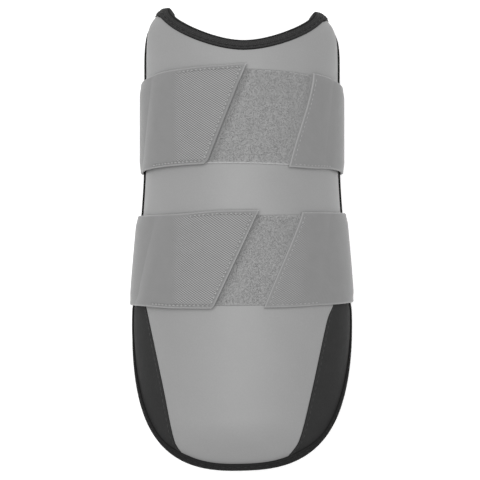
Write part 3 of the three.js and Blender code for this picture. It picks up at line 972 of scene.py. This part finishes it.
def build_bindings():
    top_tape = tape_finish("black_top_tape", tones=(0.014, 0.058), edge_tone=0.35)
    # The rim tape takes darker tones than the top tape: painted shade for a band that faces down and
    # outwards.
    rim_tape = tape_finish("black_rim_tape_painted_shade", tones=(0.008, 0.028), edge_tone=0.9)
    thread = thread_finish("tape_thread", low=0.004, high=0.012)
    top = np.linspace(TOP_TAPE_END, -TOP_TAPE_END, TOP_SAMPLES)
    build_binding(
        "top_tape", "top_binding", top, top_edge(top), top_tape_width, top_tape, thread, TOP_TAPE_STITCH
    )
    start = TOP_TAPE_END + TAPE_ENDS_GAP / half_arc(top_edge(TOP_TAPE_END))
    corner = lerp(start, 1, np.sin(np.linspace(0, math.pi / 2, CORNER_SAMPLES)))
    bottom = np.sin(np.linspace(-math.pi / 2, math.pi / 2, BOTTOM_SAMPLES))
    climb = np.linspace(0, 1, RIM_SAMPLES)[1:-1]
    left_rim = lerp(top_edge(-1.0), bottom_edge(-1.0), climb)
    right_rim = lerp(bottom_edge(1.0), top_edge(1.0), climb)
    across = [-corner, np.full_like(climb, -1), bottom, np.full_like(climb, 1), corner[::-1]]
    y = [top_edge(-corner), left_rim, bottom_edge(bottom), right_rim, top_edge(corner[::-1])]
    across, y = np.concatenate(across), np.concatenate(y)
    build_binding("rim_tape", "rim_binding", across, y, rim_tape_width, rim_tape, thread, RIM_TAPE_STITCH)


# Straps. The long edges are tucked in where a strap goes round the rims.
STRAP_ROWS = 80
STRAP_EDGE = 0.7
END_EDGE = 0.45
STITCH_ZONE = np.arange(1.05, 3.7, 0.35)
ZONE_END = 4.2
FINE_REACH = 17
ARM_STEP = 0.45
SIDE_STEPS = 34
CORNER_STEPS = 10
FLOOR_STEPS = 48
TUCK = 0.7
TUCK_WIDTH = 7
DIP_DISTANCE = 33
DIP_LENGTH = 11
PATCH_FADE = 12
EDGE_PRESS = 0.22
PRESS_WIDTH = 3.5

# Where the twill fades out, and the distances from an edge over which its painted highlight lines do
TWILL_LEFT = -35
TWILL_LEFT_FADE = 3
TWILL_RIGHT_FADE = 4
TWILL_INSET = (1.2, 2.4)
SEAM_TWILL = 0.7
FOLD_HIGHLIGHT_LINE = (0.25, 0.55)
CUT_HIGHLIGHT_LINE = (0.45, 0.75)
SELVAGE_HIGHLIGHT_LINE = (0.4, 0.9)
SELVAGE_HIGHLIGHT = 0.9

# Distances from an edge: over its rounding, then close together where the stitches run
NEAR_EDGE = np.concatenate([STRAP_EDGE * EDGE_SHARES, STITCH_ZONE])


def to_long_edge(share):
    return np.minimum(share, 1 - share) * STRAP_WIDTH


def tuck(share):
    return TUCK * fade(to_long_edge(share), 0, TUCK_WIDTH)


def strap_y(strap, share, x, z):
    def edge_y(name):
        y = strap[name]
        lean = math.tan(math.radians(strap[name + "_lean"])) * (section(y)["crest"] - z)
        return y - lean + strap[name + "_slope"] * x

    return lerp(edge_y("bottom"), edge_y("top"), share)


def strap_place(strap, share, angle, lift=0.0):
    """Place across and along the wall of a strap's point at an angle, moved up the wall by a lift."""
    y = lerp(strap["bottom"], strap["top"], share)
    for _ in range(SETTLING_ROUNDS):
        across = angle / section(y)["wrap"]
        point = arch_point(across, y)
        y = strap_y(strap, share, point[..., 0], point[..., 2]) + lift
    return across, y


def strap_point(strap, share, angle, height, lift=0.0):
    return layer_point(*strap_place(strap, share, angle, lift), height)


def end_lift(strap, arm, share, distance):
    """How far a point near an arm's end stands off the band's line."""
    end = strap[arm["end"]]
    dip = end["dip"] * share * hump(distance - DIP_DISTANCE, DIP_LENGTH)
    return lerp(*end["lift"], share) * fade(distance, *end["fade"]) - dip


def strap_corner(strap, share, side, turn, lift):
    """Where a band turns from a side to the back."""
    radius = CORNER_INNER_RADIUS + lift
    z = ELASTIC + CORNER_INNER_RADIUS - radius * np.sin(turn)
    inset = SEAT_GAP + RIM_CLEARANCE - tuck(share) - CORNER_INNER_RADIUS + radius * np.cos(turn)
    x = np.zeros_like(z)
    for _ in range(SETTLING_ROUNDS):
        y = strap_y(strap, share, x, z)
        x = side * (section(y)["half_width"] + inset)
    return np.stack([x, y, z], -1)


def corner_setback(end, share):
    """How far an end is set back round its lower corner."""
    length, height = end["corner"]
    short = 1 - np.clip(share * STRAP_WIDTH / height, 0, 1)
    return length * (1 - np.sqrt(1 - short**2))


def end_angle(strap, name, share):
    """Angle round the arch of an end. Its bow is the greatest at half the width."""
    end = strap[name]
    middle = share * (1 - share)
    bow = 4 * end["bow"] * middle + end["skew"] * middle * (2 * share - 1)
    x = lerp(end["bottom"], end["top"], share) + bow - corner_setback(end, share)
    half_width = section(lerp(strap["bottom"], strap["top"], share))["half_width"]
    return np.arcsin(x / (half_width + SEAT_GAP + LOOP))


def angle_of(strap, distance):
    return distance / section((strap["top"] + strap["bottom"]) / 2)["half_width"]


def past_end(strap, name, distance, share):
    """Angle at a distance to the right of an end."""
    return end_angle(strap, name, share) + angle_of(strap, distance)


def patch_lift(strap, share, angle):
    """How far the loop patch stands off its even inset, from the tab's end to the sewn end."""
    tab = end_angle(strap, "tab", share)
    seam = end_angle(strap, "seam", share)
    along = np.clip((angle - tab) / (seam - tab), 0, 1)
    pairs = zip(strap["tab"]["patch"], strap["seam"]["patch"])
    bottom, top = (lerp(*pair, along) for pair in pairs)
    return lerp(bottom, top, share) * fade((tab - angle) / angle_of(strap, 1), 0, PATCH_FADE)


def arm_height(strap, share, angle, arm):
    """Height of an arm's inner face: over its closure, down to the panel and out round the rim."""
    start = end_angle(strap, arm["end"], share)
    side = arm["side"]
    stack_end = side * start + angle_of(strap, arm["reach"])
    over_stack = fade(side * angle, stack_end, stack_end + angle_of(strap, STACK_RAMP))
    round_rim = smoothstep(side * angle, *RIM_ANGLES)
    clearance = (RIM_CLEARANCE - tuck(share)) * round_rim
    pressed = 1 - EDGE_PRESS * fade(to_long_edge(share), 0, PRESS_WIDTH)
    from_end = side * (angle - start) / angle_of(strap, 1)
    rise = arm["rise"] * fade(from_end, 0, RISE_LENGTH)
    return SEAT_GAP + np.maximum((arm["stack"] + rise) * pressed * over_stack, clearance)


def arm_grid(strap, share, arm):
    """Angles of an arm's columns from its end to the widest line, and their distances from the end."""
    reach = arm["reach"] + FINE_REACH
    even = np.linspace(ZONE_END, reach, round((reach - ZONE_END) / ARM_STEP) + 1)
    distance = np.concatenate([NEAR_EDGE, even])[:, None]
    start = end_angle(strap, arm["end"], share)[None]
    near = start + arm["side"] * angle_of(strap, distance)
    side_angle = arm["side"] * math.pi / 2
    rest = np.linspace(0, 1, SIDE_STEPS + 1)[1:, None]
    far = lerp(near[-1], side_angle, rest)
    far_distance = distance[-1] + (far - near[-1]) / angle_of(strap, 1) * arm["side"]
    return np.concatenate([near, far]), np.concatenate([np.broadcast_to(distance, near.shape), far_distance])


def face_lift(outside, share, distance):
    """Height of a band's outer or inner face over its seat, with rounded edges."""
    drop = np.maximum(edge_drop(to_long_edge(share), STRAP_EDGE), edge_drop(distance, END_EDGE))
    return ELASTIC - drop if outside else drop


def strap_face(strap, share, outside):
    """Points of a strap's outer or inner face, column by column from its sewn end to its tab."""
    turn = np.linspace(0, math.pi / 2, CORNER_STEPS + 1)[:, None]
    turn_share, turn = np.broadcast_arrays(share, turn)
    blocks = []
    for arm in (ARMS["right"], ARMS["left"]):
        angle, distance = arm_grid(strap, share, arm)
        row = np.broadcast_to(share, angle.shape)
        height = arm_height(strap, row, angle, arm) + face_lift(outside, row, distance)
        points = strap_point(strap, row, angle, height, end_lift(strap, arm, row, distance))
        lift = face_lift(outside, turn_share, FAR)
        blocks.append(np.concatenate([points, strap_corner(strap, turn_share, arm["side"], turn, lift)]))
    right, left = blocks
    across_back = np.linspace(0, 1, FLOOR_STEPS + 1)[1:-1, None, None]
    return np.concatenate([right, lerp(right[-1], left[-1], across_back), left[::-1]])


def strap_share():
    middle = np.linspace(ZONE_END, STRAP_WIDTH - ZONE_END, STRAP_ROWS + 1)
    return np.concatenate([NEAR_EDGE, middle, STRAP_WIDTH - NEAR_EDGE[::-1]]) / STRAP_WIDTH


def end_distances(strap, share, columns):
    """Distances of a strap's points from its sewn end and from its tab, far beyond the arm with that end."""
    to_seam = np.full((columns, len(share)), FAR)
    to_tab = np.full((columns, len(share)), FAR)
    _, from_seam = arm_grid(strap, share, ARMS["right"])
    _, from_tab = arm_grid(strap, share, ARMS["left"])
    to_seam[: len(from_seam)] = from_seam
    to_tab[-len(from_tab) :] = from_tab[::-1]
    return to_seam, to_tab


def strap_looks(strap, share, x):
    """Where the twill shows on a strap, and where highlights are painted on it: folded end, cut edge and
    selvages.
    """
    to_seam, to_tab = end_distances(strap, share, len(x))
    share = np.broadcast_to(share, x.shape)
    to_edge = to_long_edge(share)
    right = strap["twill_right"]
    tab_twill = smoothstep(x, TWILL_LEFT - TWILL_LEFT_FADE, TWILL_LEFT + TWILL_LEFT_FADE) * (to_tab < FAR)
    seam_twill = SEAM_TWILL * fade(x, right - TWILL_RIGHT_FADE, right + TWILL_RIGHT_FADE) * (to_seam < FAR)
    inside = smoothstep(np.minimum(to_edge, np.minimum(to_seam, to_tab)), *TWILL_INSET)
    # Painted highlights: a line along the folded sewn end, one along each selvage, and one along the tab's
    # cut edge over the shares of its width given per strap.
    folded = fade(to_seam, *FOLD_HIGHLIGHT_LINE)
    woven = SELVAGE_HIGHLIGHT * fade(to_edge, *SELVAGE_HIGHLIGHT_LINE)
    cut = fade(to_tab, *CUT_HIGHLIGHT_LINE) * smoothstep(share, *strap["cut_highlight_shares"])
    return dict(twill=np.maximum(tab_twill, seam_twill) * inside, pale=np.maximum(folded, woven) + cut)


def build_strap(name, strap, material, rows, holes):
    """One band, drawn in along its rows of stitches."""
    share = strap_share()
    outer, inner = (strap_face(strap, share, outside) for outside in (True, False))
    run = run_length(outer[:, len(share) // 2])
    looks = strap_looks(strap, share, outer[..., 0])
    groove = GROOVE_DEPTH * hump(nearest(outer, rows), GROOVE_WIDTH)
    dimple = HOLE_DEPTH * hump(nearest(outer, holes), HOLE_WIDTH)
    outer = outer + unit(inner - outer) * (groove + dimple)[..., None]
    weave = np.stack(np.broadcast_arrays(run[:, None], share * STRAP_WIDTH), -1)
    values = dict(weave=weave, **looks)
    piece = slab_piece(f"{name}_elastic", material, "elastic", f"{name}_strap", outer, inner, **values)


def arm_path(strap, arm, share, distance):
    """Line on an arm's outer face through shares of its width and distances from its end."""
    share, distance = np.broadcast_arrays(np.asarray(share, float), np.asarray(distance, float))
    angle = past_end(strap, arm["end"], arm["side"] * distance, share)
    height = arm_height(strap, share, angle, arm) + ELASTIC - ROW_DEPTH
    across, y = strap_place(strap, share, angle, end_lift(strap, arm, share, distance))
    return layer_point(across, y, height), arch_normal(across, y)


def end_rows(strap):
    """Rows of stitches round the tab's end, then down the sewn end and along the start of its lower edge."""
    inset = LONG_EDGE_INSET / STRAP_WIDTH
    width = np.linspace(1 - inset, inset, PATH_POINTS)
    tab_length = np.linspace(HOOK_LENGTH, END_INSET, PATH_POINTS)
    sewn_length = np.linspace(END_INSET, SEWN_LENGTH, PATH_POINTS)
    left, right = ARMS["left"], ARMS["right"]
    tab = [
        arm_path(strap, left, 1 - TOP_EDGE_INSET / STRAP_WIDTH, tab_length),
        arm_path(strap, left, width, END_INSET),
        arm_path(strap, left, inset, tab_length),
    ]
    return tab, [arm_path(strap, right, width, END_INSET), arm_path(strap, right, inset, sewn_length)]


def patch_rows(strap):
    """Rows of stitches along the two long edges of the loop patch, where it shows."""
    rows = []
    for share in (PATCH_STITCH_INSET / STRAP_WIDTH, 1 - PATCH_STITCH_INSET / STRAP_WIDTH):
        start = past_end(strap, "tab", END_INSET, share)
        stop = past_end(strap, "seam", -PATCH_STITCH_END, share)
        angle = np.linspace(start, stop, PATH_POINTS)
        across, y = strap_place(strap, share, angle, patch_lift(strap, share, angle))
        rows.append((layer_point(across, y, SEAT_GAP + LOOP), arch_normal(across, y)))
    return rows


def build_strap_stitches(name, strap, thread):
    """Adds a strap's stitches and gives the points of their rows and the needle holes."""
    shape = Shape()
    tab, sewn = end_rows(strap)
    makes = (TAB_STITCH, TAB_END_STITCH, TAB_STITCH)
    holes = [add_stitches(shape, *row, **make) for row, make in zip(tab, makes)]
    for row in sewn:
        add_stitches(shape, *row, **SEWN_STITCH)
    for row in patch_rows(strap):
        add_stitches(shape, *row, **PATCH_STITCH)
    shape.piece(f"{name}_strap_stitches", thread, "elastic")
    return np.concatenate([path for path, _ in tab + sewn]), np.concatenate(holes)


# Closures. Each half starts and stops at a distance to the right of one of the strap's ends. Only the loop
# patch, which shows, is shifted off its even inset.
PATCH_ROWS = 30
LOOP_PATCH = dict(
    start=("tab", -LOOP_UNDER_TAB), stop=("seam", LOOP_UNDER_SEAM), inset=LOOP_INSET,
    height=SEAT_GAP - LAYER_GAP, thickness=LOOP + LAYER_GAP, edge=0.8, columns=60, shifted=1,
)
HOOK_PAD = dict(
    start=("tab", -HOOK_LENGTH), stop=("tab", -HOOK_INSET), inset=HOOK_INSET,
    height=SEAT_GAP + LOOP + LAYER_GAP, thickness=HOOK, edge=0.3, columns=40, shifted=0,
)
# Distances from the tab's end over which the painted shadow on the pile fades out
TAB_SHADOW_WIDTH = (1.5, 4)

# Loops of the pile, with the ranges of their widths and heights in shares of the mean
PILE_DENSITY = 4.2
PILE_MARGIN = 1.9
PILE_FROM_TAB = 0.5
PILE_FROM_SEAM = 0.3
PILE_HEIGHT = 0.1
PILE_HEIGHTS = (0.6, 1.15)
PILE_WIDTH = 0.46
PILE_WIDTHS = (0.7, 1.2)
PILE_LEAN = 0.35
PILE_UNDERTURN = 0.15
PILE_THREAD = 0.17
PILE_RINGS = 4
PILE_SIDES = 3


def painted_tab_shadow(strap, share, angle):
    """How much painted shadow darkens the pile beside the tab's end, from 1 to 0."""
    from_tab = (angle - end_angle(strap, "tab", share)) / angle_of(strap, 1)
    return fade(from_tab, *TAB_SHADOW_WIDTH)


def patch_faces(strap, start, stop, inset, height, thickness, edge, columns, shifted):
    """Outer and inner points of one half of a closure, its weave and the painted shadow on its pile beside
    the tab.
    """
    width = STRAP_WIDTH - 2 * inset
    share = lerp(inset / STRAP_WIDTH, 1 - inset / STRAP_WIDTH, spread(width, PATCH_ROWS, edge) / width)
    first, last = (past_end(strap, *end, share) for end in (start, stop))
    length = float(np.mean(last - first) / angle_of(strap, 1))
    at = spread(length, columns, edge)[:, None]
    angle = lerp(first, last, at / length)
    row = np.broadcast_to(share, angle.shape)
    to_edge = np.minimum(row - share[0], share[-1] - row) * STRAP_WIDTH
    drop = np.maximum(edge_drop(to_edge, edge), edge_drop(np.minimum(at, length - at), edge))
    lift = shifted * patch_lift(strap, row, angle)
    outer = strap_point(strap, row, angle, height + thickness - drop, lift)
    inner = strap_point(strap, row, angle, height, lift)
    weave = np.stack([np.broadcast_to(at, angle.shape), row * STRAP_WIDTH], -1)
    return outer, inner, weave, painted_tab_shadow(strap, row, angle)


def add_pile(shape, strap, seed):
    """Small loops of thread standing on the part of the patch that shows."""
    random = np.random.default_rng(seed)
    width = (end_angle(strap, "seam", 0.5) - end_angle(strap, "tab", 0.5)) / angle_of(strap, 1)
    count = int(PILE_DENSITY * width * STRAP_WIDTH)
    margin = PILE_MARGIN / STRAP_WIDTH
    share = random.uniform(margin, 1 - margin, count)
    start = past_end(strap, "tab", PILE_FROM_TAB, share)
    stop = past_end(strap, "seam", -PILE_FROM_SEAM, share)
    angle = lerp(start, stop, random.uniform(0, 1, count))
    across, y = strap_place(strap, share, angle, patch_lift(strap, share, angle))
    base = layer_point(across, y, SEAT_GAP + LOOP)
    up = arch_normal(across, y)
    east = unit(np.cross(np.array([0, 1.0, 0]), up))
    north = np.cross(up, east)
    heading = random.uniform(0, 2 * math.pi, count)[:, None]
    ahead = east * np.cos(heading) + north * np.sin(heading)
    aside = np.cross(up, ahead)
    rising = up + aside * random.normal(0, PILE_LEAN, (count, 1))
    turn = np.linspace(-PILE_UNDERTURN, math.pi + PILE_UNDERTURN, PILE_RINGS)[:, None]
    wide = (PILE_WIDTH / 2 * random.uniform(*PILE_WIDTHS, count))[:, None, None]
    tall = (PILE_HEIGHT * random.uniform(*PILE_HEIGHTS, count))[:, None, None]
    centres = base[:, None] + wide * np.cos(turn) * ahead[:, None] + tall * np.sin(turn) * rising[:, None]
    out = unit(np.cos(turn) * ahead[:, None] + np.sin(turn) * up[:, None])
    sideways = np.broadcast_to(aside[:, None], out.shape)
    # The loops take the painted shadow beside the tab as well, and none of the highlight painted along the
    # lower edge.
    pressed = np.repeat(painted_tab_shadow(strap, share, angle), PILE_RINGS * PILE_SIDES)[:, None]
    values = dict(selvage=np.zeros_like(pressed), pressed=pressed)
    add_threads(shape, centres, out, sideways, PILE_THREAD / 2, PILE_SIDES, **values)


def build_closure(name, strap, loop, hook, seed):
    outer, inner, weave, pressed = patch_faces(strap, **LOOP_PATCH)
    # Highlight painted along the patch's lower edge.
    selvage = strap["selvage"] * fade(weave[..., 1] - LOOP_INSET, *SELVAGE_HIGHLIGHT_LINE)
    patch = Shape()
    patch.add_slab(outer, inner, selvage=selvage, pressed=pressed)
    add_pile(patch, strap, seed)
    patch.piece(f"{name}_loop_pile", loop, "loop", [f"{name}_loop_patch"])
    outer, inner, weave, _ = patch_faces(strap, **HOOK_PAD)
    slab_piece(f"{name}_hook_tape", hook, "hook", f"{name}_hook_pad", outer, inner, weave=weave)


def build_straps():
    elastic = elastic_finish()
    loop = loop_finish()
    hook = hook_finish()
    thread = thread_finish("grey_thread", low=0.29, high=0.37)
    for seed, (name, strap) in enumerate(STRAPS.items()):
        build_strap(name, strap, elastic, *build_strap_stitches(name, strap, thread))
        build_closure(name, strap, loop, hook, seed)


# Floor and camera, in metres
FLOOR_SIZE = 8.0
FLOOR_LEVEL = -0.0002
FLOOR_TONES = (0.87, 0.9)
CAMERA_PLACE = (-0.00106, -0.00053, 1.3)
CAMERA_LENS = 183.9
SENSOR = 36

# One broad soft light overhead, over a floor that glows and a pale surround
LIGHT_PLACE = (-0.11, 0.22, 2.05)
LIGHT_SIZE = (2.0, 1.8)
LIGHT_POWER = 52.5
LIGHT_AIM = (0, 0, 0.03)
WORLD_STRENGTH = 0.25
FLOOR_GLOW = 0.45
WHITE = (1, 1, 1, 1)


def build_stage():
    half = FLOOR_SIZE / 2
    corners = [(x * half, y * half, FLOOR_LEVEL) for x, y in ((-1, -1), (1, -1), (1, 1), (-1, 1))]
    mesh = bpy.data.meshes.new("floor")
    mesh.from_pydata(corners, [], [(0, 1, 2, 3)])
    finish = Finish(
        "pale_floor", Roughness=0.9, Specular_IOR_Level=0.1,
        Emission_Strength=FLOOR_GLOW, Emission_Color=WHITE,
    )
    finish.grey(finish.scaled(finish.noise(size=400), *FLOOR_TONES))
    mesh.materials.append(finish.material)
    link_object("floor", mesh)


def build_lights():
    light = bpy.data.lights.new("overhead", "AREA")
    light.shape = "RECTANGLE"
    light.size, light.size_y = LIGHT_SIZE
    light.energy = LIGHT_POWER
    lamp = link_object("overhead", light)
    lamp.location = LIGHT_PLACE
    lamp.rotation_euler = (Vector(LIGHT_AIM) - lamp.location).to_track_quat("-Z", "Y").to_euler()
    world = bpy.data.worlds.new("studio")
    world.use_nodes = True
    surround = world.node_tree.nodes["Background"]
    surround.inputs["Color"].default_value = WHITE
    surround.inputs["Strength"].default_value = WORLD_STRENGTH
    bpy.context.scene.world = world
    bpy.context.scene.view_settings.view_transform = "Standard"


def build_camera():
    lens = bpy.data.cameras.new("camera")
    lens.lens = CAMERA_LENS
    lens.sensor_width = SENSOR
    camera = link_object("camera", lens)
    camera.location = CAMERA_PLACE
    bpy.context.scene.camera = camera


build_cover()
build_pad()
build_bindings()
build_straps()
build_stage()
build_lights()
build_camera()

bpy.context.view_layer.update()
